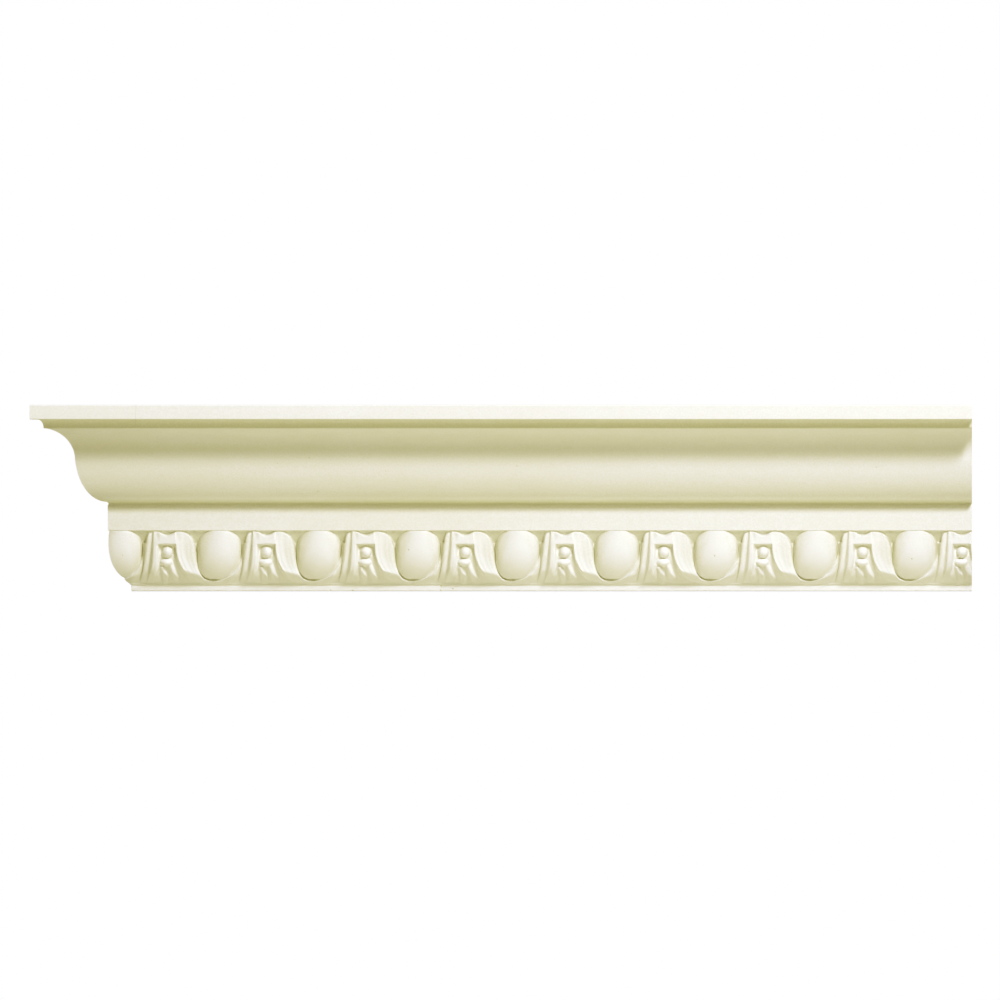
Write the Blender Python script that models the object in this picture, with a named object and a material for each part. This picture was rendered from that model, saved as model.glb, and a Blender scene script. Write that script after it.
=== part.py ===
"""A section of moulded cornice with an egg-and-dart band along its foot.

X runs along the moulding, the room is at -Y and +Z is up. The wall touches the flat back at y = 0,
and the ceiling touches the flat top. The left end is mitred for an outer corner, the right end is square.
"""

import math

import bmesh
import bpy
import numpy as np
from mathutils import Vector

# Sizes along the run, in metres
RUN_LENGTH = 0.5056          # longest edge, along the top fascia
MITRE_ANGLE = 45.0           # degrees that the left end leans off square
PITCH = 0.0533               # from one dart to the next
LAST_DART = 0.0058           # from the last dart's middle to the square end

# Heights of the mouldings, from the top down
TOP_FASCIA = 0.0079
QUIRK_HEIGHT = 0.0047
COVE_HEIGHT = 0.0167
OVOLO_HEIGHT = 0.0227
CREASE_HEIGHT = 0.0020
LOWER_FASCIA = 0.0135
BAND_HEIGHT = 0.0290
FILLET_HEIGHT = 0.0035

# How far each moulding steps back towards the wall, from the top down
SOFFIT_INSET = 0.0044
QUIRK_INSET = 0.0032
LEDGE_INSET = 0.0009
COVE_INSET = 0.0159
OVOLO_INSET = 0.0170
CREASE_INSET = 0.0012
CREASE_RETURN = 0.0006       # how far the lower fascia stands in front of the crease
BAND_INSET = 0.0126
FILLET_THICKNESS = 0.0120    # from the fillet's front to the wall

# Flat faces of the back
WALL_FACE = 0.0400
CEILING_FACE = 0.0286

# Curved mouldings: degrees round its ellipse where each starts, and facets
COVE_START = 9.0
OVOLO_START = 8.8
QUIRK_FACETS = 3
COVE_FACETS = 9
OVOLO_FACETS = 9
SHARP_ANGLE = 38.0           # degrees between faces that meet at a sharp arris

# Points this near a saw cut, in metres, are moved onto it or count as lying on it
SNAP_TO_CUT = 1e-6
ON_CUT = 1e-5

# The carving is drawn in hundredths: across in hundredths of the pitch from the dart's middle, down in
# hundredths of the band's height from its top, and deep in hundredths of the band's inset.
EGG_ACROSS = 53.3
EGG_DOWN = 31.5
EGG_HALF_WIDTH = 21.8
EGG_ABOVE = 36.0             # half axis of the egg's outline above its widest place
EGG_BELOW = 57.5             # half axis below it
EGG_LEAN = -3.0              # how far the egg's foot leans along the run
EGG_SWELL = 42.0             # from the egg's side to its crown
EGG_LEAST = 5.2              # half width that the grid keeps under the egg's foot
LEAST_HALF_WIDTH = 0.01      # the egg's own outline counts as this wide at its very tip
CROWN = 105.5                # how far the band's crown stands in front of the fillet
CROWN_DOWN = 16.0
CROWN_BEND = 2.5             # how late the swelling face falls away below its crown
FOOT = 6.8                   # how far the band's foot stands in front of the fillet
BACKING = 3.4                # the least that any of the carving stands in front of the fillet
POCKET = 33.0                # depth of the pockets under the lower fascia
BALL = (0.8, 39.8, 5.8, 11.2)        # across, down, half width and half height
BALL_DEEP = (24.0, 27.0)             # depth of the ball's back, and its swell
NOTCH = (-10.7, 12.8, 7.9)           # between which places, and how far down, the bridge is notched
SHOULDER = (13.1, 16.7, 37.9, 37.6)  # right shoulder: start, half width, centre down, half height
SIDE = (-14.6, 6.0, 20.7, 19.3)      # left shoulder: start, half width, centre down, half height
LIP = 1.2                            # least way between neighbouring lines of the carving

# Each crest or groove line of one repeat, from left to right: where it starts under the fascia, where it
# lands at the fillet, how late it bends, and its depth at places on the way down. Below nought it stands
# in front of the swelling face, where a leaf flares.
LEFT_LEAF = (
    (-24.8, -48.8, 4.0, ((41, 43), (76, 30), (97, 9))),
    (-24.2, -48.8, 4.0, ((41, 41), (60, 20), (76, 4), (95, 4))),
    (-22.9, -31.0, 4.0, ((48, 33), (62, 29), (79, 19), (97, 9))),
    (-18.0, -25.1, 1.2, ((28, 15), (62, 13), (79, 12), (97, 7))),
    (-15.2, -22.5, 1.5, ((28, 21), (62, 18), (79, 15), (97, 8))),
    (-12.8, -20.3, 4.0, ((28, 3), (62, -4), (76, -6), (97, 7))),
    (-9.4, -16.5, 4.0, ((28, 3), (62, -4), (76, -5), (97, 7))),
    (-7.7, -13.1, 4.0, ((24, 3), (27.5, 20), (69, 15), (97, 8))),
)
DART = (
    (-4.9, -10.0, 3.0),
    (-2.3, -5.2, 3.0),
    (0.6, -0.9, 3.0),
    (3.4, 4.6, 3.0),
    (5.9, 10.5, 3.0),
)
RIGHT_LEAF = (
    (7.9, 28.5, 4.6, ((24, 3), (27.5, 20), (69, 15), (97, 8))),
    (9.4, 36.4, 4.4, ((24, 1), (48, -7), (69, -14), (83, -13), (97, 6))),
    (12.9, 38.0, 4.2, ((24, 2), (48, -3), (69, -10), (83, -12), (97, 6))),
    (19.5, 39.6, 3.8, ((24, 9), (52, 4), (69, -1), (83, -3), (97, 6))),
    (25.6, 41.2, 4.6, ((28, 12), (55, 6), (76, 3), (97, 7))),
    (28.9, 42.6, 5.0, ((31, 21), (55, 18), (76, 13), (97, 8))),
    (30.4, 44.0, 5.0, ((41, 43), (76, 30), (97, 9))),
)
EGG_LINES = (-1.0, -0.85, -0.5, 0.0, 0.5, 0.85, 1.0)     # shares of the egg's half width
CUP_FLOOR = ((41, 43), (76, 30), (97, 9))
# Fingers of the husk under the ball: ends (across, down), half widths, depth of the crest, and swell
HUSK = (
    ((-3.0, 59.5), (2.4, 58.5), 3.0, 3.8, -5, 20),
    ((-3.6, 68.0), (-1.5, 83.4), 2.2, 2.8, -3, 18),
    ((-1.5, 83.4), (-0.9, 99.0), 2.8, 2.0, -4, 16),
    ((4.3, 65.5), (9.2, 87.6), 2.4, 3.2, -4, 18),
    ((-6.2, 64.0), (-9.4, 87.6), 1.8, 2.6, 1, 14),
)
# Rows of the carving's grid, down from the outline of the leaves and eggs
ROWS = (13, 20, 24, 27.5, 35, 42, 49, 56, 64, 72, 80, 88, 95, 100)
LEDGE_DOWN = 1.2             # first row, just under the lower fascia's arris
RISE_DOWN = 2.6              # from a pocket's foot up to the leaf's front
ROW_REACH = 14.0             # furthest down that the rows follow the outline of the leaves


def ramp(start, end, place):
    share = np.clip((place - start) / (end - start), 0.0, 1.0)
    return share * share * (3.0 - 2.0 * share)


def depth_along(down, stations):
    """Depth at each place down the band, eased from one station to the next."""
    depth = np.full(np.shape(down), float(stations[0][1]))
    for (start, shallow), (end, deep) in zip(stations, stations[1:]):
        depth = depth + (deep - shallow) * ramp(start, end, down)
    return depth


def line_across(down, top, foot, bend):
    return top + (foot - top) * np.clip(down / 100.0, 0.0, 1.0) ** bend


def band_front(down):
    """The swelling face that the carving is cut back from."""
    share = np.clip((down - CROWN_DOWN) / (100.0 - CROWN_DOWN), 0.0, 1.0)
    return CROWN - (CROWN - FOOT) * share ** CROWN_BEND


def egg_outline(down):
    """Middle and half width of the egg's outline at each place down the band."""
    drop = down - EGG_DOWN
    reach = np.where(drop < 0.0, EGG_ABOVE, EGG_BELOW)
    half = EGG_HALF_WIDTH * np.sqrt(np.clip(1.0 - (drop / reach) ** 2, 0.0, 1.0))
    lean = EGG_LEAN * np.clip(drop / EGG_BELOW, 0.0, 1.0) ** 2
    return lean, half


def motif_lines(down):
    """Places across and depths of the lines that one repeat is lofted through, egg middle to egg middle."""
    lean, half = egg_outline(down)
    half = np.maximum(half, EGG_LEAST)
    cup = depth_along(down, CUP_FLOOR)
    across = [EGG_ACROSS - 100.0 + lean + share * half for share in EGG_LINES if share >= 0.0]
    depths = [cup] * len(across)
    for top, foot, bend, stations in LEFT_LEAF:
        across.append(line_across(down, top, foot, bend))
        depths.append(depth_along(down, stations))
    for top, foot, bend in DART:
        across.append(line_across(down, top, foot, bend))
        depths.append(depth_along(down, LEFT_LEAF[-1][3]))
    for top, foot, bend, stations in RIGHT_LEAF:
        across.append(line_across(down, top, foot, bend))
        depths.append(depth_along(down, stations))
    for share in EGG_LINES:
        if share < 0.0:
            across.append(EGG_ACROSS + lean + share * half)
            depths.append(cup)
    for index in range(1, len(across)):
        across[index] = np.maximum(across[index], across[index - 1] + LIP)
    across.append(EGG_ACROSS + lean)
    depths.append(cup)
    return np.array(across), np.array(depths)


def outline_down(across):
    """How far down the leaves and the bridge start, under the lower fascia."""
    left, right, dip = NOTCH
    turn = np.clip((across - left) / (right - left), 0.0, 1.0) * 2.0 * math.pi
    notch = dip * 0.5 * (1.0 - np.cos(turn))
    start, width, centre, height = SHOULDER
    bulge = np.clip((across - start) / width, 0.0, 1.0)
    right_side = centre - height * np.sqrt(1.0 - bulge ** 2)
    start, width, centre, height = SIDE
    bulge = np.clip((start - across) / width, 0.0, 1.0)
    left_side = centre - height * np.sqrt(1.0 - bulge ** 2)
    outline = np.where(across > start, notch, left_side)
    outline = np.where(across > SHOULDER[0], right_side, outline)
    in_egg = np.abs(across - EGG_ACROSS) < EGG_HALF_WIDTH
    in_last_egg = np.abs(across - EGG_ACROSS + 100.0) < EGG_HALF_WIDTH
    return np.where(in_egg | in_last_egg, 0.0, outline)


def finger_front(across, down, finger):
    """Front of a round-backed ridge between two points, or nothing beside it."""
    (start_across, start_down), (end_across, end_down), start_half, end_half, deep, swell = finger
    narrow = BAND_HEIGHT / PITCH
    run = np.array([end_across - start_across, (end_down - start_down) * narrow])
    place = np.stack([across - start_across, (down - start_down) * narrow])
    share = np.clip(np.tensordot(run, place, 1) / np.dot(run, run), 0.0, 1.0)
    away = np.hypot(place[0] - share * run[0], place[1] - share * run[1])
    half = start_half + (end_half - start_half) * share
    round_back = 1.0 - np.sqrt(np.clip(1.0 - (away / half) ** 2, 0.0, 1.0))
    front = band_front(down) - deep - swell * round_back
    return np.where(away < half, front, BACKING)


def carved_front(across, down, depth):
    """How far the carving stands in front of the fillet, in hundredths of the band's inset."""
    front = band_front(down)
    pocket = np.minimum(front - depth, front - POCKET)
    shown = ramp(0.0, RISE_DOWN, down - outline_down(across))
    carved = pocket + (front - depth - pocket) * shown
    lean, half = egg_outline(down)
    for middle in (EGG_ACROSS + lean, EGG_ACROSS - 100.0 + lean):
        share = np.abs(across - middle) / np.maximum(half, LEAST_HALF_WIDTH)
        round_side = 1.0 - np.sqrt(np.clip(1.0 - share ** 2, 0.0, 1.0))
        egg = front - EGG_SWELL * (half / EGG_HALF_WIDTH) * round_side
        carved = np.where(share <= 1.0, np.maximum(carved, egg), carved)
    middle, centre, half_width, half_height = BALL
    back, swell = BALL_DEEP
    reach = np.hypot((across - middle) / half_width, (down - centre) / half_height)
    ball = front - back + swell * np.sqrt(np.clip(1.0 - reach ** 2, 0.0, 1.0))
    carved = np.where(reach < 1.0, np.maximum(carved, ball), carved)
    for finger in HUSK:
        carved = np.maximum(carved, finger_front(across, down, finger))
    return np.maximum(carved, BACKING)


def motif_grid():
    """One repeat of the carving: place along, place down and front of each grid point, in metres."""
    columns = motif_lines(np.array([50.0]))[0].shape[0]
    top_across, _ = motif_lines(np.array([0.0]))
    outline = outline_down(top_across[:, 0])
    in_leaves = (top_across[:, 0] > LEFT_LEAF[2][0] - LIP) & (top_across[:, 0] < RIGHT_LEAF[-1][0])
    outline = np.where(in_leaves, np.minimum(outline, ROW_REACH), 0.0)
    downs = [np.full(columns, LEDGE_DOWN), np.maximum(outline, 2.0 * LEDGE_DOWN)]
    downs.append(downs[1] + RISE_DOWN)
    lowest = downs[2]
    for row in ROWS:
        share = (row - ROWS[0]) / (100.0 - ROWS[0])
        shift = np.maximum(lowest + RISE_DOWN - ROWS[0], 0.0) * (1.0 - share) ** 3
        downs.append(np.minimum(row + shift, 100.0))
    grid = []
    for down in downs:
        across, depth = (np.diagonal(values) for values in motif_lines(down))
        front = carved_front(across, down, depth)
        grid.append((across * PITCH / 100.0, down * BAND_HEIGHT / 100.0, front * BAND_INSET / 100.0))
    return grid


def arc(start, end, facets, first_turn, hollow):
    """Points after start on an elliptical curve that ends at end, up to a quarter turn round its centre."""
    first = math.radians(first_turn)
    points = []
    for step in range(1, facets + 1):
        turn = first + (0.5 * math.pi - first) * step / facets
        steep = (math.sin(turn) - math.sin(first)) / (1.0 - math.sin(first))
        flat = (math.cos(first) - math.cos(turn)) / math.cos(first)
        share_back, share_down = (steep, flat) if hollow else (flat, steep)
        points.append((
            start[0] + (end[0] - start[0]) * share_back,
            start[1] + (end[1] - start[1]) * share_down,
        ))
    return points


def section():
    """Outline above the band from the top down, outline of the foot and back, and the band's two edges."""
    lower_front = -(FILLET_THICKNESS + BAND_INSET)
    crease_back = lower_front + CREASE_RETURN
    ovolo_foot = crease_back - CREASE_INSET
    cove_foot = ovolo_foot - OVOLO_INSET
    cove_top = cove_foot - COVE_INSET
    quirk_foot = cove_top - LEDGE_INSET
    soffit_back = quirk_foot - QUIRK_INSET
    front = soffit_back - SOFFIT_INSET
    foot = -0.5 * WALL_FACE
    band_foot = foot + FILLET_HEIGHT
    fascia_foot = band_foot + BAND_HEIGHT
    fascia_top = fascia_foot + LOWER_FASCIA
    ovolo_low = fascia_top + CREASE_HEIGHT
    cove_low = ovolo_low + OVOLO_HEIGHT
    quirk_low = cove_low + COVE_HEIGHT
    soffit = quirk_low + QUIRK_HEIGHT
    top = soffit + TOP_FASCIA
    face = [(front, top), (front, soffit), (soffit_back, soffit)]
    face += arc(face[-1], (quirk_foot, quirk_low), QUIRK_FACETS, 0.0, True)
    face.append((cove_top, quirk_low))
    face += arc(face[-1], (cove_foot, cove_low), COVE_FACETS, COVE_START, True)
    face += arc(face[-1], (ovolo_foot, ovolo_low), OVOLO_FACETS, OVOLO_START, False)
    face += [(crease_back, 0.5 * (ovolo_low + fascia_top)), (lower_front, fascia_top)]
    back = [(-FILLET_THICKNESS, foot), (0.0, foot), (0.0, foot + WALL_FACE), (front + CEILING_FACE, top)]
    return face, back, (lower_front, fascia_foot), (-FILLET_THICKNESS, band_foot)


def band_rows(band_top, band_foot, left, right, last_dart):
    """Grid points of the carved band from left to right, row by row, between its two straight edges."""
    grid = motif_grid()
    most = math.ceil((last_dart - left) / PITCH)
    least = -math.ceil((right - last_dart) / PITCH)
    darts = [last_dart - PITCH * index for index in range(most, least - 1, -1)]
    rows = []
    for along, down, out in grid:
        row = []
        for dart in darts:
            for x, drop, front in zip(along[:-1] + dart, down, out):
                row.append((x, band_foot[0] - front, band_top[1] - drop))
        rows.append(row)
    top_edge = [(x, band_top[0], band_top[1]) for x, _, _ in rows[0]]
    foot_edge = [(x, band_foot[0], band_foot[1]) for x, _, _ in rows[-1]]
    return [top_edge] + rows + [foot_edge]


def moulding_blank(left, right, last_dart):
    """The moulding a little longer than it is cut, as a mesh that is open at both ends."""
    face, back, band_top, band_foot = section()
    straight = [[(left, y, z), (right, y, z)] for y, z in back + face]
    carved = band_rows(band_top, band_foot, left, right, last_dart)
    rows = straight + carved + [straight[0]]
    mesh = bmesh.new()
    made = [[mesh.verts.new(point) for point in row] for row in rows[:-1]]
    made.append(made[0])
    for upper, lower in zip(made, made[1:]):
        if len(upper) == len(lower):
            for index in range(len(upper) - 1):
                mesh.faces.new((upper[index], upper[index + 1], lower[index + 1], lower[index]))
        else:
            mesh.faces.new(upper + lower[::-1])
    return mesh


def on_plane(edge, point, normal):
    return all(abs((vert.co - point).dot(normal)) < ON_CUT for vert in edge.verts)


def cut_end(mesh, point, normal):
    """Saw the blank through and close the cut."""
    bmesh.ops.bisect_plane(
        mesh,
        geom=mesh.verts[:] + mesh.edges[:] + mesh.faces[:],
        dist=SNAP_TO_CUT,
        plane_co=point,
        plane_no=normal,
        clear_outer=True,
    )
    rim = [edge for edge in mesh.edges if edge.is_boundary and on_plane(edge, point, normal)]
    bmesh.ops.holes_fill(mesh, edges=rim, sides=0)


def moulding_mesh():
    """The blank cut to a mitre at its left end and square at its right, with the wall face's middle at x = 0."""
    face, _, _, _ = section()
    front = face[0][0]
    lean = math.radians(MITRE_ANGLE)
    wall_length = RUN_LENGTH + front * math.tan(lean)
    right_end = 0.5 * wall_length
    left_tip = right_end - RUN_LENGTH
    mesh = moulding_blank(left_tip - PITCH, right_end + PITCH, right_end - LAST_DART)
    cut_end(mesh, Vector((right_end, 0.0, 0.0)), Vector((1.0, 0.0, 0.0)))
    cut_end(mesh, Vector((left_tip, front, 0.0)), Vector((-math.cos(lean), math.sin(lean), 0.0)))
    bmesh.ops.recalc_face_normals(mesh, faces=mesh.faces)
    return mesh


def cream_primer():
    """Off-white factory primer on moulded foam."""
    material = bpy.data.materials.new("cream_primer")
    material.use_nodes = True
    shader = material.node_tree.nodes["Principled BSDF"]
    shader.inputs["Base Color"].default_value = (0.86, 0.85, 0.76, 1.0)
    shader.inputs["Roughness"].default_value = 0.62
    shader.inputs["Metallic"].default_value = 0.0
    return material


for old in list(bpy.data.objects):
    bpy.data.objects.remove(old)

body = moulding_mesh()
shape = bpy.data.meshes.new("cornice_moulding")
body.to_mesh(shape)
body.free()
shape.shade_smooth()
shape.set_sharp_from_angle(angle=math.radians(SHARP_ANGLE))
shape.materials.append(cream_primer())
cornice = bpy.data.objects.new("cornice_moulding", shape)
bpy.context.scene.collection.objects.link(cornice)
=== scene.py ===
"""A section of moulded cornice with an egg-and-dart band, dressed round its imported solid.

X runs along the moulding, the room is at -Y and +Z is up. The wall touches the flat back at y = 0.
"""

import math

import bmesh
import bpy
import numpy as np
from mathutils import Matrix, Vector


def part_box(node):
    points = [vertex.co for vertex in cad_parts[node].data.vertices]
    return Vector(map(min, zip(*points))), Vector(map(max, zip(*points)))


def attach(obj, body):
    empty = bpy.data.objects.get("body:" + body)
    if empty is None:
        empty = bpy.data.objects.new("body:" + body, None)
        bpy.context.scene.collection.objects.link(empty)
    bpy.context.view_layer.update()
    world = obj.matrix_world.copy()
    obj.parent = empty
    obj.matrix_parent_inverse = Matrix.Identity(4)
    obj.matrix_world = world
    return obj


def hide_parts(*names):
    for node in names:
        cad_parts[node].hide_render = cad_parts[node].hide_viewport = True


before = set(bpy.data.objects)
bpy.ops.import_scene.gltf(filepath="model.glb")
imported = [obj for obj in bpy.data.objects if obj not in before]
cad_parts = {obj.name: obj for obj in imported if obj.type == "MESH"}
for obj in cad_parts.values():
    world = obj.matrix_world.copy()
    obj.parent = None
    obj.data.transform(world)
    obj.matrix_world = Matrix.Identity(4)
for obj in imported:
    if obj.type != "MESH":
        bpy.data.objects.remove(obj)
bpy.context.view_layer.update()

# The plain mouldings

# The real thing is one strip of rigid foam, cast in a long mould, primed, and glued to the wall by its
# flat back. These faces run straight along it, from the ceiling down: fascia, quirk, cove, ovolo, crease
# and lower fascia, with the arrises as round as a mould leaves them.

lowest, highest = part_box("cornice_moulding")
LEFT_TIP, RIGHT_END = lowest.x, highest.x
FRONT_OUT = -lowest.y * 1000.0       # millimetres from the wall to the top fascia's face
FOOT_Z = lowest.z * 1000.0
MM = 0.001

# Height above the foot, in millimetres, at the lower edge of each moulding
FILLET_TOP = 3.5
BAND_TOP = 32.5
LOWER_FASCIA_TOP = 46.0
OVOLO_FOOT = 48.0
COVE_FOOT = 70.7
QUIRK_FOOT = 87.4
SOFFIT = 92.1
CEILING = 100.0

# Millimetres from the wall to the face of each
FILLET_OUT = 12.0
LOWER_FASCIA_OUT = 24.6
CREASE_OUT = 24.0
OVOLO_FOOT_OUT = 25.2
COVE_FOOT_OUT = 42.2
COVE_TOP_OUT = 58.1
QUIRK_FOOT_OUT = 59.0
SOFFIT_OUT = 62.2
CEILING_BACK_OUT = 38.0
WALL_FACE_TOP = 40.0

ARRIS = 0.55                         # radius that the mould leaves on an outer arris
FINE_ARRIS = 0.3
ARRIS_FACETS = 4
QUIRK_FACETS = 8
CURVE_FACETS = 26                    # along the cove, and along the ovolo
COVE_START = 9.0                     # degrees off level where each curve starts
OVOLO_START = 8.8


def elliptical(start, end, facets, first_degrees, hollow):
    """Points after start on an elliptical curve that ends at end, up to a quarter turn."""
    first = math.radians(first_degrees)
    points = []
    for step in range(1, facets + 1):
        turn = first + (0.5 * math.pi - first) * step / facets
        steep = (math.sin(turn) - math.sin(first)) / (1.0 - math.sin(first))
        flat = (math.cos(first) - math.cos(turn)) / math.cos(first)
        back, down = (steep, flat) if hollow else (flat, steep)
        points.append((start[0] + (end[0] - start[0]) * back, start[1] + (end[1] - start[1]) * down))
    return points


def eased(before, corner, after, radius):
    """The small round that turns one corner of the outline."""
    corner = np.array(corner, float)
    arms = [np.array(other, float) - corner for other in (before, after)]
    arms = [arm / np.linalg.norm(arm) for arm in arms]
    half = 0.5 * math.acos(float(np.clip(np.dot(arms[0], arms[1]), -1.0, 1.0)))
    middle = (arms[0] + arms[1]) / np.linalg.norm(arms[0] + arms[1])
    centre = corner + middle * radius / math.sin(half)
    ends = [corner + arm * radius / math.tan(half) - centre for arm in arms]
    swing = math.pi - 2.0 * half
    points = []
    for step in range(ARRIS_FACETS + 1):
        share = step / ARRIS_FACETS
        spoke = math.sin((1.0 - share) * swing) * ends[0] + math.sin(share * swing) * ends[1]
        points.append(tuple(centre + spoke / math.sin(swing)))
    return points


def plain_outline():
    """Outline from the fillet's foot round the back and down the face to the lower fascia's foot."""
    quirk_top = (SOFFIT_OUT, SOFFIT)
    quirk = elliptical(quirk_top, (QUIRK_FOOT_OUT, QUIRK_FOOT), QUIRK_FACETS, 0.0, True)
    cove_top = (COVE_TOP_OUT, QUIRK_FOOT)
    cove = elliptical(cove_top, (COVE_FOOT_OUT, COVE_FOOT), CURVE_FACETS, COVE_START, True)
    ovolo = elliptical(cove[-1], (OVOLO_FOOT_OUT, OVOLO_FOOT), CURVE_FACETS, OVOLO_START, False)
    crease = (CREASE_OUT, 0.5 * (OVOLO_FOOT + LOWER_FASCIA_TOP))
    fascia_top = (LOWER_FASCIA_OUT, LOWER_FASCIA_TOP)
    outline = eased((FILLET_OUT, FILLET_TOP), (FILLET_OUT, 0.0), (0.0, 0.0), ARRIS)
    outline += [(0.0, 0.0), (0.0, WALL_FACE_TOP), (CEILING_BACK_OUT, CEILING)]
    outline += eased((CEILING_BACK_OUT, CEILING), (FRONT_OUT, CEILING), (FRONT_OUT, SOFFIT), ARRIS)
    outline += eased((FRONT_OUT, CEILING), (FRONT_OUT, SOFFIT), quirk_top, ARRIS)
    outline += [quirk_top] + quirk
    outline += eased(quirk[-1], cove_top, cove[0], FINE_ARRIS)
    outline += cove + ovolo[:-1]
    outline += eased(ovolo[-2], ovolo[-1], crease, FINE_ARRIS)
    outline.append(crease)
    outline += eased(crease, fascia_top, (LOWER_FASCIA_OUT, BAND_TOP), FINE_ARRIS)
    return outline


# The egg-and-dart band

# Eggs in leafy cups, parted by a dart that has shrunk to a ball and a small husk under a bridge. The
# ornament was carved once, for the mould, and is part of the same foam. Each repeat is lofted through
# crest and groove lines that sweep down and outwards from the bridge to the fillet.

PITCH = 53.3                         # millimetres from one dart to the next
BAND_HEIGHT = BAND_TOP - FILLET_TOP
LAST_DART = 5.8                      # from the last dart's middle to the square end
EGG_ACROSS = 28.6
EGG_DOWN = 8.9
EGG_HALF_WIDTH = 11.9
EGG_ABOVE = 10.4
EGG_BELOW = 17.2
EGG_FULLNESS = 2.6                   # 2 would be an ellipse below the egg's widest place
EGG_LEAN = 2.6                       # how far the egg's foot leans back along the run
EGG_SWELL = 5.8                      # from an egg's side to its middle
EGG_TOP_OUT = 13.2                   # how far its middle stands in front of the fillet
EGG_SHOULDER = 5.0                   # below here the middle falls back towards the fillet
EGG_FALL = 0.0046
EGG_BEND = 2.5
EGG_LEAST = 1.8                      # half width that the mesh keeps under the egg's foot
SWELL_OUT = 13.3                     # the round face that the leaves are cut from: its crown
SWELL_DOWN = 4.0
SWELL_FALL = 0.0214
POCKET = 1.6                         # depth of the pockets between egg and leaves, at their top
POCKET_SLANT = 0.8                   # how fast they get deeper on their way down
POCKET_FLOOR = 6.2                   # how far out they stop getting deeper
BRIDGE_FOOT = 7.0                    # where the recess round the ball starts
RECESS_TOP = 7.9
NOTCH_LEFT = -5.7                    # the bridge is notched between here and there, this far down
NOTCH_RIGHT = 6.8
NOTCH_DOWN = 2.3
# The leaves' shoulders: where each starts across, its half width, and its centre and half height down
LEFT_SHOULDER = (-7.8, 3.2, 6.0, 5.6)
RIGHT_SHOULDER = (7.0, 8.9, 11.0, 10.9)
EDGE_RISE = (-0.2, 0.8)              # over this much of the way down, an upper edge rises from its pocket

# Across at the top, sweep along the run, from and to which height, lean, and (down, out) stations
CUP = ((0.0, 11.4), (7.0, 6.3), (12.0, 6.2), (16.0, 5.7), (20.0, 4.5), (24.0, 2.2), (26.0, 1.2), (28.0, 0.6))
RECESS = ((BRIDGE_FOOT, 12.9), (RECESS_TOP, 10.9), (14.0, 9.9), (20.0, 7.6), (25.0, 3.9), (28.4, 0.5))
LEFT_LEAF = (
    (-12.9, -8.0, 10.0, 27.6, 0.0,
     ((0.0, 11.4), (7.5, 6.8), (14.0, 6.9), (18.0, 6.3), (23.0, 4.6), (26.0, 2.6), (28.2, 0.6))),
    (-11.9, -4.0, 8.0, 29.0, 0.0,
     ((0.0, 11.4), (7.5, 7.6), (14.0, 7.6), (18.0, 6.7), (23.0, 4.6), (26.0, 2.6), (28.2, 0.6))),
    (-10.6, -2.0, 8.0, 30.0, -0.08,
     ((3.0, 10.8), (13.0, 9.7), (18.0, 8.4), (22.0, 6.6), (25.0, 4.2), (28.2, 0.6))),
    (-9.3, -2.0, 8.0, 30.0, -0.1,
     ((3.0, 11.5), (13.0, 10.4), (18.0, 8.9), (22.0, 6.9), (25.0, 4.3), (28.2, 0.6))),
    (-7.4, -1.0, 8.0, 30.0, -0.1,
     ((3.0, 11.3), (13.0, 10.1), (18.0, 8.7), (22.0, 6.9), (25.0, 4.3), (28.2, 0.6))),
    (-6.8, -4.4, 8.0, 28.0, 0.0,
     ((1.0, 12.4), (8.0, 12.7), (18.0, 11.2), (22.0, 8.9), (25.0, 5.6), (28.2, 0.7))),
    (-5.2, -4.4, 8.0, 28.0, 0.0,
     ((1.0, 12.2), (7.0, 12.9), (18.0, 11.2), (22.0, 8.7), (25.0, 5.3), (28.2, 0.7))),
    (-3.2, -3.6, 8.0, 28.0, 0.0, RECESS),
)
DART = (
    (-1.6, -1.6, 8.0, 28.0, 0.0, RECESS),
    (0.3, 0.0, 8.0, 28.0, 0.0, RECESS),
    (2.6, 2.6, 8.0, 27.6, 0.0, RECESS),
)
RIGHT_LEAF = (
    (4.7, 12.0, 8.0, 27.3, 0.0, RECESS),
    (5.3, 15.0, 8.0, 27.3, 0.0,
     ((1.0, 12.2), (7.0, 12.9), (14.0, 12.1), (20.0, 10.1), (21.8, 9.3), (25.0, 6.0), (28.2, 0.8))),
    (7.2, 14.4, 8.0, 27.6, 0.0,
     ((1.0, 12.3), (7.0, 12.5), (15.0, 11.0), (20.0, 9.3), (23.0, 8.0), (25.5, 5.4), (28.2, 0.8))),
    (10.5, 14.5, 8.0, 28.0, 0.0,
     ((1.0, 11.8), (7.0, 11.7), (15.0, 10.0), (20.0, 8.3), (23.7, 6.9), (26.0, 4.6), (28.2, 0.8))),
    (13.2, 12.0, 8.0, 28.5, 0.0,
     ((2.0, 11.5), (9.0, 11.0), (16.0, 9.2), (20.0, 7.8), (24.3, 6.1), (26.4, 3.9), (28.2, 0.8))),
    (15.6, 9.0, 9.0, 29.0, 0.0,
     ((4.0, 10.8), (9.0, 10.2), (16.0, 8.2), (20.0, 6.9), (24.9, 5.2), (26.7, 3.5), (28.2, 0.8))),
    (16.4, 6.0, 13.0, 26.3, 0.0, CUP),
)
# Fingers of the husk: ends (across, down), half widths, and how far out their crests stand at each end
HUSK = (
    ((-2.2, 20.0), (-0.8, 24.2), 1.9, 2.1, 9.6, 7.2),
    ((-0.8, 24.2), (-0.5, 28.8), 2.0, 1.3, 7.2, 2.2),
    ((2.3, 19.0), (4.9, 25.4), 1.8, 2.4, 9.9, 6.2),
    ((-3.3, 18.6), (-5.0, 25.4), 1.4, 2.0, 9.2, 5.6),
)
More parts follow.
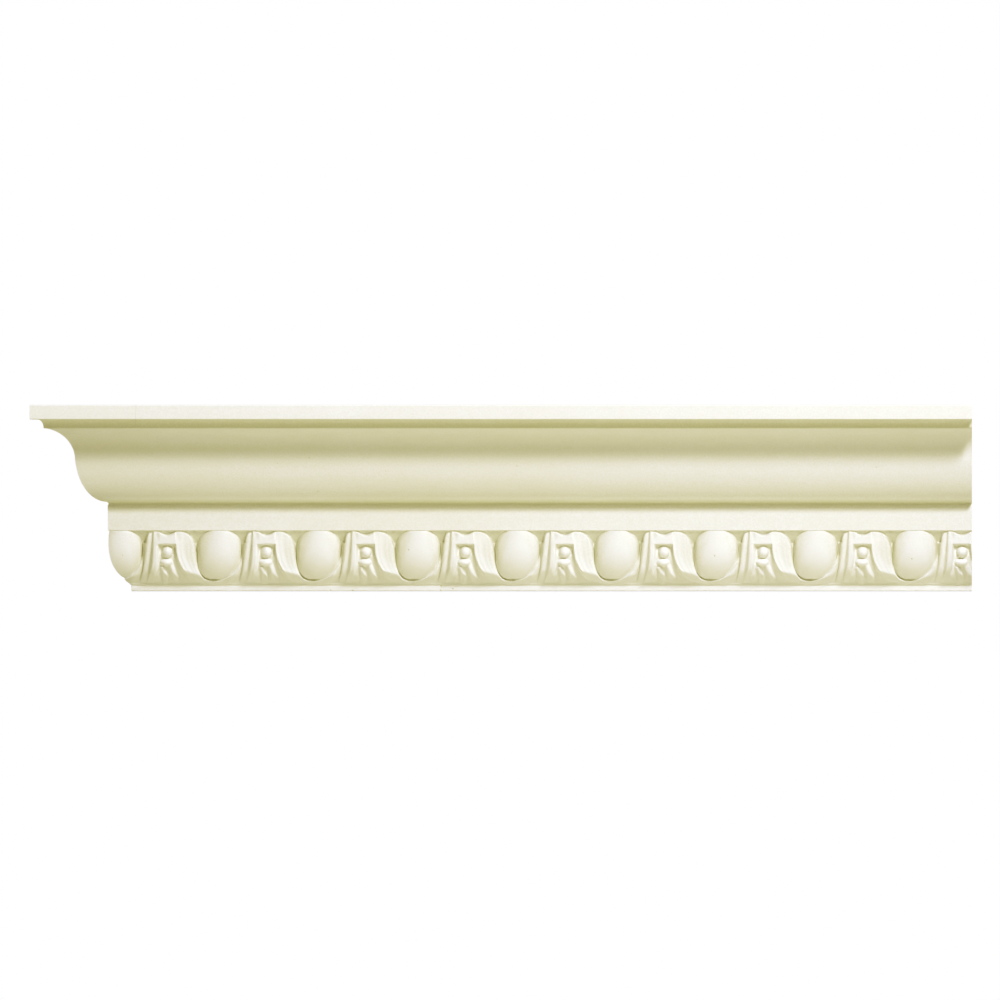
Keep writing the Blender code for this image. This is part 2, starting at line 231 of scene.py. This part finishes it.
# The ball and the husk's cap under it: across, down, half width, half height, out at the crown, swell
KNOBS = ((0.45, 11.5, 3.1, 3.2, 12.9, 3.4), (0.05, 17.1, 3.4, 2.1, 11.7, 2.6))
FINGER_ROUND = 1.2                   # how peaked a finger is
# The cup's rim, which runs round under the egg: half width on either side, and fall below the egg's
# widest place
RIM_LEFT = 12.6
RIM_RIGHT = 12.4
RIM_BELOW = 18.8
RIM_WIDTH = 1.5
RIM_ROUND = 1.5                      # how peaked it is
RIM_START = (12.0, 20.0)             # how far down it rises beside the egg
RIM_FADE = 0.8                       # where the rim ends at the egg's left, as a share of its half width
RIM_FULL = 0.5                       # how much further along it is whole
RIM_SPREAD = 2.4                     # how much wider the rim is at the egg's right
RIM = ((12.0, 9.8), (18.0, 7.8), (22.0, 6.6), (24.5, 5.6), (27.2, 3.0))
EGG_SEAM = 0.2                       # how much the corner is filled round an egg, a knob and the foot
KNOB_SEAM = 0.25
FOOT_SEAM = 0.6
FOOT_SLOPE = 1.2                     # the carving falls to the fillet inside a face of this slope
LEAST_OUT = 0.45                     # the least that the carving stands in front of the fillet

LEAF_CELL = 0.52                     # mesh width on the leaves and the dart, and on the eggs
EGG_CELL = 0.85
ROW = 0.4
TOP_ROWS = (0.12, 0.35, 0.65)        # first rows under the lower fascia's arris
RECESS_ROWS = 5                      # rows down the step under the bridge
LEAST_GAP = 0.25                     # between one line and the next
USUAL_GAP = 0.8                      # the share of heights whose gaps get cells no wider than the above
FOOT_ARRIS = 0.12

# Painted shade and highlight in the primer's colour: painted shade in the carving, by how far that is
# behind the round face, and between these heights in the quirk and the crease, and a painted highlight
# on the carving's crests and the fillet
PAINTED_SHADE_SUNK = (1.0, 5.0)
PAINTED_SHADE_STRENGTH = 0.5
PAINTED_HIGHLIGHT_SUNK = (1.5, -0.5)
QUIRK_PAINTED_SHADE = ((QUIRK_FOOT - 0.6, QUIRK_FOOT + 0.2), (SOFFIT + 0.3, SOFFIT - 0.3))
CREASE_PAINTED_SHADE = ((LOWER_FASCIA_TOP, LOWER_FASCIA_TOP + 0.9), (OVOLO_FOOT + 1.6, OVOLO_FOOT))
FILLET_PAINTED_LIGHT = (FILLET_TOP + 0.1, FILLET_TOP)


def ramp(start, end, place):
    share = np.clip((place - start) / (end - start), 0.0, 1.0)
    return share * share * (3.0 - 2.0 * share)


def out_along(down, stations):
    """How far a line stands in front of the fillet on its way down, smoothly through its stations."""
    places, outs = (np.array(values, float) for values in zip(*stations))
    rises = np.diff(outs) / np.diff(places)
    inner = np.where(rises[1:] * rises[:-1] > 0.0, 0.5 * (rises[1:] + rises[:-1]), 0.0)
    slopes = np.concatenate([[0.0], inner, rises[-1:]])
    index = np.clip(np.searchsorted(places, down) - 1, 0, len(rises) - 1)
    width = places[index + 1] - places[index]
    share = np.clip((down - places[index]) / width, 0.0, 1.0)
    rest = 1.0 - share
    first = (1.0 + 2.0 * share) * outs[index] + share * width * slopes[index]
    last = (3.0 - 2.0 * share) * outs[index + 1] - rest * width * slopes[index + 1]
    return rest ** 2 * first + share ** 2 * last


def line_across(down, top, sweep, start, end, lean):
    share = np.clip((down - start) / (end - start), 0.0, 1.0)
    return top + sweep * (1.0 - np.sqrt(1.0 - share * share)) + lean * down


def swelling(down):
    """The round face that the carving is cut back from."""
    return SWELL_OUT - SWELL_FALL * (down - SWELL_DOWN) ** 2


def egg_crown(down):
    """How far out an egg's middle stands: fuller than the face between the eggs."""
    return EGG_TOP_OUT - EGG_FALL * np.clip(down - EGG_SHOULDER, 0.0, None) ** EGG_BEND


def egg_half_width(down):
    above = np.sqrt(np.clip(1.0 - ((down - EGG_DOWN) / EGG_ABOVE) ** 2, 0.0, 1.0))
    drop = np.clip((down - EGG_DOWN) / EGG_BELOW, 0.0, 1.0)
    below = (1.0 - drop ** EGG_FULLNESS) ** (1.0 / EGG_FULLNESS)
    return EGG_HALF_WIDTH * np.where(down < EGG_DOWN, above, below)


def egg_middle(down):
    return EGG_ACROSS - EGG_LEAN * np.clip((down - EGG_DOWN) / EGG_BELOW, 0.0, 1.0) ** 2


def loft_lines(down):
    """Where the lines of one repeat lie across, and how far out, from one egg's middle to the next."""
    half = np.maximum(egg_half_width(down), EGG_LEAST)
    cup = out_along(down, CUP)
    middle = egg_middle(down)
    across = [middle - PITCH, middle - PITCH + half]
    outs = [cup, cup]
    for top, sweep, start, end, lean, stations in LEFT_LEAF + DART + RIGHT_LEAF:
        across.append(line_across(down, top, sweep, start, end, lean))
        outs.append(out_along(down, stations))
    across += [middle - half, middle]
    outs += [cup, cup]
    for index in range(1, len(across)):
        across[index] = np.maximum(across[index], across[index - 1] + LEAST_GAP)
    return np.array(across), np.array(outs)


def shown_below(across):
    """How far down the bridge and the leaves start, under the lower fascia."""
    share = np.clip((across - NOTCH_LEFT) / (NOTCH_RIGHT - NOTCH_LEFT), 0.0, 1.0)
    notch = 0.5 * NOTCH_DOWN * (1.0 - np.cos(2.0 * math.pi * share))
    shoulders = []
    for side, (start, half_width, centre, half_height) in ((-1.0, LEFT_SHOULDER), (1.0, RIGHT_SHOULDER)):
        past = np.clip(side * (across - start), 0.0, None) / half_width
        shoulders.append(centre - half_height * np.sqrt(np.clip(1.0 - past ** 2, 0.0, 1.0)))
    outline = np.where(across > NOTCH_RIGHT, shoulders[1], notch)
    return np.where(across < LEFT_SHOULDER[0], shoulders[0], outline)


def softened(first, second, blend):
    """The higher of two faces, with the corner between them filled a little."""
    share = np.clip(0.5 + 0.5 * (first - second) / blend, 0.0, 1.0)
    return second + (first - second) * share + blend * share * (1.0 - share)


def carved(across, down, leaf):
    """Millimetres that the carving stands in front of the fillet."""
    front = swelling(down)
    pocket = np.minimum(leaf, np.maximum(front - POCKET - POCKET_SLANT * down, POCKET_FLOOR))
    face = pocket + (leaf - pocket) * ramp(*EDGE_RISE, down - shown_below(across))
    for middle in (egg_middle(down), egg_middle(down) - PITCH):
        half = egg_half_width(down)
        share = np.abs(across - middle) / np.maximum(half, 0.01)
        side = 1.0 - np.sqrt(np.clip(1.0 - share ** 2, 0.0, 1.0))
        egg = egg_crown(down) - EGG_SWELL * half / EGG_HALF_WIDTH * side
        face = np.where(share < 1.0, softened(face, egg, EGG_SEAM), face)
        beside = np.abs(across - middle) / np.where(across < middle, RIM_LEFT, RIM_RIGHT)
        below = np.clip(down - EGG_DOWN, 0.0, None) / RIM_BELOW
        reach = (beside ** EGG_FULLNESS + below ** EGG_FULLNESS) ** (1.0 / EGG_FULLNESS)
        width = RIM_WIDTH + RIM_SPREAD * np.clip((across - middle) / RIM_RIGHT, 0.0, 1.0)
        bell = np.clip(1.0 - ((reach - 1.0) * RIM_BELOW / width) ** 2, 0.0, 1.0) ** RIM_ROUND
        bell = bell * ramp(*RIM_START, down)
        bell = bell * ramp(-RIM_FADE, RIM_FULL - RIM_FADE, (across - middle) / RIM_RIGHT)
        face = face + np.clip(out_along(down, RIM) - face, 0.0, None) * bell
    for place, centre, half_width, half_height, crown, swell in KNOBS:
        reach = np.hypot((across - place) / half_width, (down - centre) / half_height)
        knob = crown - swell + swell * np.sqrt(np.clip(1.0 - reach ** 2, 0.0, 1.0))
        face = np.where(reach < 1.0, softened(face, knob, KNOB_SEAM), face)
    for (x0, y0), (x1, y1), first_half, last_half, first_out, last_out in HUSK:
        run = (x1 - x0, y1 - y0)
        share = ((across - x0) * run[0] + (down - y0) * run[1]) / (run[0] ** 2 + run[1] ** 2)
        share = np.clip(share, 0.0, 1.0)
        away = np.hypot(across - x0 - share * run[0], down - y0 - share * run[1])
        half = first_half + (last_half - first_half) * share
        bell = np.clip(1.0 - (away / half) ** 2, 0.0, 1.0) ** FINGER_ROUND
        crest = first_out + (last_out - first_out) * share
        face = face + np.clip(crest - face, 0.0, None) * bell
    steepest = LEAST_OUT + FOOT_SLOPE * (BAND_HEIGHT - down)
    return np.maximum(-softened(-face, -steepest, FOOT_SEAM), LEAST_OUT)


def repeat_grid():
    """One repeat: place across, place down, and how far out, row by row."""
    downs = np.concatenate([
        TOP_ROWS,
        np.arange(1.0, BRIDGE_FOOT - 0.1, ROW),
        np.linspace(BRIDGE_FOOT, RECESS_TOP, RECESS_ROWS),
        np.linspace(RECESS_TOP + ROW, BAND_HEIGHT, round((BAND_HEIGHT - RECESS_TOP) / ROW)),
    ])
    across, outs = loft_lines(downs)
    last = len(across) - 1
    grid_across, grid_out = [], []
    for index in range(last):
        cell = EGG_CELL if index in (0, last - 1) else LEAF_CELL
        gap = across[index + 1] - across[index]
        cells = max(2, math.ceil(float(np.quantile(gap, USUAL_GAP)) / cell))
        for step in range(cells):
            share = step / cells
            grid_across.append(across[index] + gap * share)
            grid_out.append(outs[index] + (outs[index + 1] - outs[index]) * ramp(0.0, 1.0, share))
    grid_across, grid_out = np.array(grid_across).T, np.array(grid_out).T
    grid_down = np.repeat(downs[:, None], grid_across.shape[1], axis=1)
    return grid_across, grid_down, carved(grid_across, grid_down, grid_out)


def painted_shade_and_light_of(height):
    """Painted shade in a plain moulding's quirk and crease, 1, and a painted highlight on the fillet, -1."""
    quirk = ramp(*QUIRK_PAINTED_SHADE[0], height) * ramp(*QUIRK_PAINTED_SHADE[1], height)
    crease = ramp(*CREASE_PAINTED_SHADE[0], height) * ramp(*CREASE_PAINTED_SHADE[1], height)
    return max(quirk, crease) - ramp(*FILLET_PAINTED_LIGHT, height)


def level_row(along, out, height):
    """One straight row of points along the strip: along, out, height, and painted shade and highlight."""
    return np.stack([along] + [np.full_like(along, value) for value in (out, height, painted_shade_and_light_of(height))], 1)


def band_rows(left, right, last_dart):
    """Points of the band, row by row, with its upper and lower edges, in millimetres."""
    across, down, out = repeat_grid()
    darts = np.arange(math.ceil((last_dart - left) / PITCH), -math.ceil((right - last_dart) / PITCH) - 1, -1)
    along = np.concatenate([across + last_dart - PITCH * index for index in darts], axis=1)
    down = np.tile(down, (1, len(darts)))
    out = np.tile(out, (1, len(darts)))
    top_along, foot_along = along[0], along[-1]
    rows = []
    fascia_foot = (LOWER_FASCIA_OUT, BAND_TOP)
    for point in eased((LOWER_FASCIA_OUT, LOWER_FASCIA_TOP), fascia_foot, (FILLET_OUT, BAND_TOP), FINE_ARRIS):
        rows.append(level_row(top_along, *point))
    sunk = swelling(down) - out
    # Painted shade where the carving sinks behind the round face, painted highlight where it stands beyond
    hollow = PAINTED_SHADE_STRENGTH * ramp(*PAINTED_SHADE_SUNK, sunk) - ramp(*PAINTED_HIGHLIGHT_SUNK, sunk)
    for row in range(len(along)):
        rows.append(np.stack([along[row], FILLET_OUT + out[row], BAND_TOP - down[row], hollow[row]], 1))
    for point in ((FILLET_OUT + FOOT_ARRIS, FILLET_TOP), (FILLET_OUT, FILLET_TOP - FOOT_ARRIS)):
        rows.append(level_row(foot_along, *point))
    return rows


# The strip, sawn to length

# Mouldings and band are one casting, made longer than needed and then sawn: square at the right end,
# to butt against the next length, and at 45 degrees at the left, for an outer corner. It is held to the
# wall and the ceiling by adhesive and pins.

SNAP_TO_CUT = 1e-6                   # metres
ON_CUT = 1e-5
BACK_FACES = 4                       # underside, wall face, slope and ceiling face


def on_plane(vert, point, normal):
    return abs((vert.co - point).dot(normal)) < ON_CUT


def saw(mesh, point, normal):
    """Saws the strip through and closes the cut with one flat face."""
    everything = mesh.verts[:] + mesh.edges[:] + mesh.faces[:]
    bmesh.ops.bisect_plane(
        mesh, geom=everything, dist=SNAP_TO_CUT, plane_co=point, plane_no=normal, clear_outer=True)
    rim = [edge for edge in mesh.edges if edge.is_boundary]
    rim = [edge for edge in rim if all(on_plane(vert, point, normal) for vert in edge.verts)]
    for edge in rim:
        edge.smooth = False
    for face in bmesh.ops.holes_fill(mesh, edges=rim, sides=0)["faces"]:
        face.material_index = 1


def strip_mesh():
    """The casting, a repeat longer than the strip at each end, sawn to length."""
    left, right = LEFT_TIP * 1000.0 - PITCH, RIGHT_END * 1000.0 + PITCH
    outline = plain_outline()
    plain = [level_row(np.array([left, right]), out, height) for out, height in outline]
    rows = plain + band_rows(left, right, RIGHT_END * 1000.0 - LAST_DART)
    mesh = bmesh.new()
    # The hollow layer holds painted shade, above 0, and painted highlight, below 0, for the primer's colour
    painted_shade_layer = mesh.verts.layers.float.new("hollow")
    made = []
    for row in rows:
        made.append([])
        for x, out, height, hollow in row:
            vert = mesh.verts.new((x * MM, -out * MM, (height + FOOT_Z) * MM))
            vert[painted_shade_layer] = hollow
            made[-1].append(vert)
    made.append(made[0])
    back_rows = range(ARRIS_FACETS, ARRIS_FACETS + BACK_FACES)
    for index, (upper, lower) in enumerate(zip(made, made[1:])):
        raw = 1 if index in back_rows else 0
        if len(upper) == len(lower):
            for place in range(len(upper) - 1):
                corners = (upper[place], upper[place + 1], lower[place + 1], lower[place])
                face = mesh.faces.new(corners)
                face.material_index = raw
        else:
            mesh.faces.new(upper + lower[::-1])
    for face in mesh.faces:
        face.smooth = True
    for index in list(back_rows)[1:]:
        mesh.edges.get((made[index][0], made[index][1])).smooth = False
    saw(mesh, Vector((RIGHT_END, 0.0, 0.0)), Vector((1.0, 0.0, 0.0)))
    saw(mesh, Vector((LEFT_TIP, -FRONT_OUT * MM, 0.0)), Vector((-1.0, 1.0, 0.0)).normalized())
    bmesh.ops.recalc_face_normals(mesh, faces=mesh.faces)
    return mesh


strip = strip_mesh()
shape = bpy.data.meshes.new("cornice_strip")
strip.to_mesh(shape)
strip.free()
cornice = bpy.data.objects.new("cornice_strip", shape)
bpy.context.scene.collection.objects.link(cornice)
weighted = cornice.modifiers.new("shading", "WEIGHTED_NORMAL")
weighted.mode = "FACE_AREA"
weighted.keep_sharp = True

# The primer and the bare foam

# The moulded faces left the mould in a matt off-white primer, with painted shade in the hollows and a
# painted highlight on the carving's crests and the fillet. It caught some air as pinholes, and has one
# hairline scratch. Where the strip was sawn, and at its back, the foam is bare.

SCRATCH_X = -0.2295                  # metres along the strip
SCRATCH_WANDER = 0.0009
SCRATCH_EDGE = (0.00008, 0.00035)
SCRATCH_FOOT = 0.0666                # metres up, at the scratch's lower end
SCRATCH_FADE = 0.003
SCRATCH_STRENGTH = 0.10
PINHOLE_SCALE = 170.0
PINHOLE_STRENGTH = 0.5
FLECK_STRENGTH = 0.45
PEEL_DEPTH = 0.00003                 # of the orange peel, and of the mould's strokes
PINHOLE_DEPTH = 0.0002
CELL_DEPTH = 0.00012
KERF_DEPTH = 0.0001
CREAM = (0.880, 0.874, 0.825, 1.0)
PALE_CREAM = (0.895, 0.892, 0.855, 1.0)
FLECK = (0.80, 0.79, 0.71, 1.0)
# A painted highlight and painted shade, mixed into the primer's colour
PAINTED_HIGHLIGHT_WHITE = (0.95, 0.95, 0.94, 1.0)
PAINTED_SHADE_KHAKI = (0.73, 0.725, 0.59, 1.0)
PINHOLE = (0.55, 0.52, 0.40, 1.0)
SCRATCH = (0.50, 0.47, 0.36, 1.0)
FOAM = (0.82, 0.775, 0.64, 1.0)
PALE_FOAM = (0.86, 0.825, 0.71, 1.0)
FOAM_CELL = (0.62, 0.56, 0.42, 1.0)


class Finish:
    """A material under way: its nodes, worked from the surface's own place in metres."""

    def __init__(self, name):
        self.material = bpy.data.materials.new(name)
        self.material.use_nodes = True
        self.tree = self.material.node_tree
        self.shader = self.tree.nodes["Principled BSDF"]
        self.place = self.tree.nodes.new("ShaderNodeTexCoord").outputs["Object"]

    def feed(self, socket, value):
        if isinstance(value, bpy.types.NodeSocket):
            self.tree.links.new(value, socket)
        else:
            socket.default_value = value

    def stretched(self, scales):
        node = self.tree.nodes.new("ShaderNodeMapping")
        node.inputs["Scale"].default_value = scales
        self.feed(node.inputs["Vector"], self.place)
        return node.outputs[0]

    def noise(self, scale, detail=2.0, roughness=0.5, place=None):
        node = self.tree.nodes.new("ShaderNodeTexNoise")
        self.feed(node.inputs["Vector"], place or self.place)
        for name, value in (("Scale", scale), ("Detail", detail), ("Roughness", roughness)):
            node.inputs[name].default_value = value
        return node.outputs["Fac"]

    def cells(self, scale, output):
        node = self.tree.nodes.new("ShaderNodeTexVoronoi")
        self.feed(node.inputs["Vector"], self.place)
        node.inputs["Scale"].default_value = scale
        return node.outputs[output]

    def spread(self, value, low, high, first=0.0, last=1.0):
        """Maps low to high on to first to last, smoothly and no further."""
        node = self.tree.nodes.new("ShaderNodeMapRange")
        node.interpolation_type = "SMOOTHSTEP"
        for name, amount in (("From Min", low), ("From Max", high), ("To Min", first), ("To Max", last)):
            node.inputs[name].default_value = amount
        self.feed(node.inputs["Value"], value)
        return node.outputs["Result"]

    def sum_of(self, operation, first, second):
        node = self.tree.nodes.new("ShaderNodeMath")
        node.operation = operation
        self.feed(node.inputs[0], first)
        self.feed(node.inputs[1], second)
        return node.outputs[0]

    def tint(self, share, first, second):
        node = self.tree.nodes.new("ShaderNodeMix")
        node.data_type = "RGBA"
        self.feed(node.inputs["Factor"], share)
        # Inputs 6 and 7 and output 2 are the node's colours
        self.feed(node.inputs[6], first)
        self.feed(node.inputs[7], second)
        return node.outputs[2]

    def bump(self, height, distance, under=None):
        node = self.tree.nodes.new("ShaderNodeBump")
        node.inputs["Distance"].default_value = distance
        self.feed(node.inputs["Height"], height)
        if under:
            self.feed(node.inputs["Normal"], under)
        return node.outputs["Normal"]


def primer():
    """Factory primer, matt off-white, with painted shade in hollows, painted highlight on crests and fillet.
    """
    coat = Finish("cream_primer")
    # The hollow attribute: painted shade above 0, painted highlight below 0
    painted_shade_and_light_node = coat.tree.nodes.new("ShaderNodeAttribute")
    painted_shade_and_light_node.attribute_name = "hollow"
    cloud = coat.spread(coat.noise(scale=14.0, detail=3.0), 0.35, 0.65)
    fleck = coat.spread(coat.noise(scale=1000.0, detail=3.0, roughness=0.7), 0.3, 0.7)
    colour = coat.tint(cloud, CREAM, PALE_CREAM)
    colour = coat.tint(coat.sum_of("MULTIPLY", fleck, FLECK_STRENGTH), colour, FLECK)
    # Painted highlight, up to half way to white, where the attribute is below 0
    crest = coat.spread(painted_shade_and_light_node.outputs["Fac"], -1.0, 0.0, 0.5, 0.0)
    colour = coat.tint(crest, colour, PAINTED_HIGHLIGHT_WHITE)
    # Painted shade, khaki and mottled, where the attribute is above 0
    mottled = coat.spread(fleck, 0.0, 1.0, 0.42, 0.58)
    painted_shade = coat.sum_of("MULTIPLY", painted_shade_and_light_node.outputs["Fac"], mottled)
    colour = coat.tint(painted_shade, colour, PAINTED_SHADE_KHAKI)
    # Pinholes, where air was caught against the mould
    pin = coat.spread(coat.cells(PINHOLE_SCALE, "Distance"), 0.04, 0.09, 1.0, 0.0)
    rare = coat.spread(coat.cells(PINHOLE_SCALE, "Color"), 0.80, 0.84)
    pin = coat.sum_of("MULTIPLY", pin, rare)
    colour = coat.tint(coat.sum_of("MULTIPLY", pin, PINHOLE_STRENGTH), colour, PINHOLE)
    # A hairline scratch across the top fascia and the quirk near the mitre
    across = coat.tree.nodes.new("ShaderNodeSeparateXYZ")
    coat.feed(across.inputs[0], coat.place)
    left_most, right_most = SCRATCH_X - SCRATCH_WANDER, SCRATCH_X + SCRATCH_WANDER
    wander = coat.spread(coat.noise(scale=60.0), 0.0, 1.0, left_most, right_most)
    aside = coat.sum_of("ABSOLUTE", coat.sum_of("SUBTRACT", across.outputs["X"], wander), 0.0)
    scratch = coat.spread(aside, *SCRATCH_EDGE, 1.0, 0.0)
    above = coat.spread(across.outputs["Z"], SCRATCH_FOOT, SCRATCH_FOOT + SCRATCH_FADE)
    scratch = coat.sum_of("MULTIPLY", scratch, above)
    colour = coat.tint(coat.sum_of("MULTIPLY", scratch, SCRATCH_STRENGTH), colour, SCRATCH)
    coat.feed(coat.shader.inputs["Base Color"], colour)
    rough = coat.spread(coat.noise(scale=90.0, detail=3.0), 0.3, 0.7, 0.50, 0.64)
    coat.feed(coat.shader.inputs["Roughness"], rough)
    # Orange peel, the long strokes of the mould, then the pinholes and the scratch
    normal = coat.bump(coat.noise(scale=650.0, detail=2.0), PEEL_DEPTH)
    drawn = coat.stretched((9.0, 700.0, 700.0))
    drawn = coat.noise(scale=1.0, detail=3.0, roughness=0.6, place=drawn)
    normal = coat.bump(drawn, PEEL_DEPTH, normal)
    sunk = coat.sum_of("MAXIMUM", pin, coat.sum_of("MULTIPLY", scratch, 0.3))
    normal = coat.bump(sunk, -PINHOLE_DEPTH, normal)
    coat.feed(coat.shader.inputs["Normal"], normal)
    return coat.material


def raw_foam():
    """Bare foam at the saw cuts and the back: fine open cells and the marks of the saw."""
    foam = Finish("raw_foam")
    cell = foam.spread(foam.cells(1500.0, "Distance"), 0.1, 0.6)
    cloud = foam.spread(foam.noise(scale=30.0, detail=3.0), 0.35, 0.65)
    colour = foam.tint(cloud, FOAM, PALE_FOAM)
    colour = foam.tint(foam.spread(cell, 0.0, 1.0, 0.35, 0.0), colour, FOAM_CELL)
    foam.feed(foam.shader.inputs["Base Color"], colour)
    foam.feed(foam.shader.inputs["Roughness"], foam.spread(cell, 0.0, 1.0, 0.95, 0.78))
    kerf = foam.noise(scale=1.0, detail=2.0, place=foam.stretched((40.0, 40.0, 900.0)))
    normal = foam.bump(cell, CELL_DEPTH)
    foam.feed(foam.shader.inputs["Normal"], foam.bump(kerf, KERF_DEPTH, normal))
    return foam.material


shape.materials.append(primer())
shape.materials.append(raw_foam())
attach(cornice, "root")
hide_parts("cornice_moulding")

# Floor, light and camera

# A pale floor under the strip, one white softbox above and to the right, another overhead, and a little
# warm light from all round. The camera looks square at the front, from far off.

FLOOR_HALF = 15.0                    # metres
FLOOR_CREAM = (0.79, 0.78, 0.715, 1.0)
PALE_FLOOR_CREAM = (0.81, 0.80, 0.73, 1.0)

floor_mesh = bpy.data.meshes.new("floor")
corners = [(x * FLOOR_HALF, y * FLOOR_HALF, 0.0) for x, y in ((-1, -1), (1, -1), (1, 1), (-1, 1))]
floor_mesh.from_pydata(corners, [], [(0, 1, 2, 3)])
floor = bpy.data.objects.new("floor", floor_mesh)
floor.location.z = lowest.z
bpy.context.scene.collection.objects.link(floor)
floor_paint = Finish("floor_paint")
shade = floor_paint.spread(floor_paint.noise(scale=6.0, detail=4.0), 0.3, 0.7)
shade = floor_paint.tint(shade, FLOOR_CREAM, PALE_FLOOR_CREAM)
floor_paint.feed(floor_paint.shader.inputs["Base Color"], shade)
floor_paint.shader.inputs["Roughness"].default_value = 0.8
floor_mesh.materials.append(floor_paint.material)

aim = Vector((0.5 * (LEFT_TIP + RIGHT_END), -0.03, 0.03))


def softbox(name, direction, distance, size, power):
    light = bpy.data.lights.new(name, "AREA")
    light.shape = "DISK"
    light.size = size
    light.energy = power
    box = bpy.data.objects.new(name, light)
    towards = Vector(direction).normalized()
    box.location = aim + towards * distance
    box.rotation_euler = towards.to_track_quat("Z", "Y").to_euler()
    bpy.context.scene.collection.objects.link(box)


softbox("key", direction=(0.38, -0.82, 0.72), distance=2.4, size=0.56, power=45.0)
softbox("overhead", direction=(-0.10, -0.45, 1.0), distance=1.6, size=0.8, power=8.3)

world = bpy.data.worlds.new("studio")
bpy.context.scene.world = world
world.use_nodes = True
sky = world.node_tree
sky.nodes.clear()
fill = sky.nodes.new("ShaderNodeBackground")
fill.inputs["Color"].default_value = (0.80, 0.76, 0.52, 1.0)
fill.inputs["Strength"].default_value = 0.02
paper = sky.nodes.new("ShaderNodeBackground")
paper.inputs["Color"].default_value = (1.0, 1.0, 1.0, 1.0)
paper.inputs["Strength"].default_value = 1.0
seen = sky.nodes.new("ShaderNodeLightPath")
either = sky.nodes.new("ShaderNodeMixShader")
output = sky.nodes.new("ShaderNodeOutputWorld")
sky.links.new(seen.outputs["Is Camera Ray"], either.inputs[0])
sky.links.new(fill.outputs[0], either.inputs[1])
sky.links.new(paper.outputs[0], either.inputs[2])
sky.links.new(either.outputs[0], output.inputs["Surface"])

# The photograph's shadows are khaki: green and, more so, blue fall away as the light does
grade = bpy.context.scene.view_settings
grade.view_transform = "Standard"
grade.use_curve_mapping = True
greens = ((0.30, 0.28), (0.46, 0.44), (0.52, 0.50), (0.62, 0.60), (0.73, 0.71), (0.80, 0.785), (0.90, 0.895))
blues = ((0.20, 0.09), (0.40, 0.235), (0.44, 0.285), (0.50, 0.345), (0.57, 0.435), (0.64, 0.53), (0.69, 0.62))
blues += ((0.78, 0.765), (0.86, 0.875), (0.93, 0.945))
for channel, places in ((1, greens), (2, blues)):
    for place, value in places:
        grade.curve_mapping.curves[channel].points.new(place, value)
grade.curve_mapping.update()

camera = bpy.data.objects.new("camera", bpy.data.cameras.new("camera"))
camera.data.type = "ORTHO"
camera.data.ortho_scale = 0.5365
camera.location = (-0.03368, -2.0, 0.02893)
camera.rotation_euler = (math.radians(90.0), 0.0, 0.0)
bpy.context.scene.collection.objects.link(camera)
bpy.context.scene.camera = camera
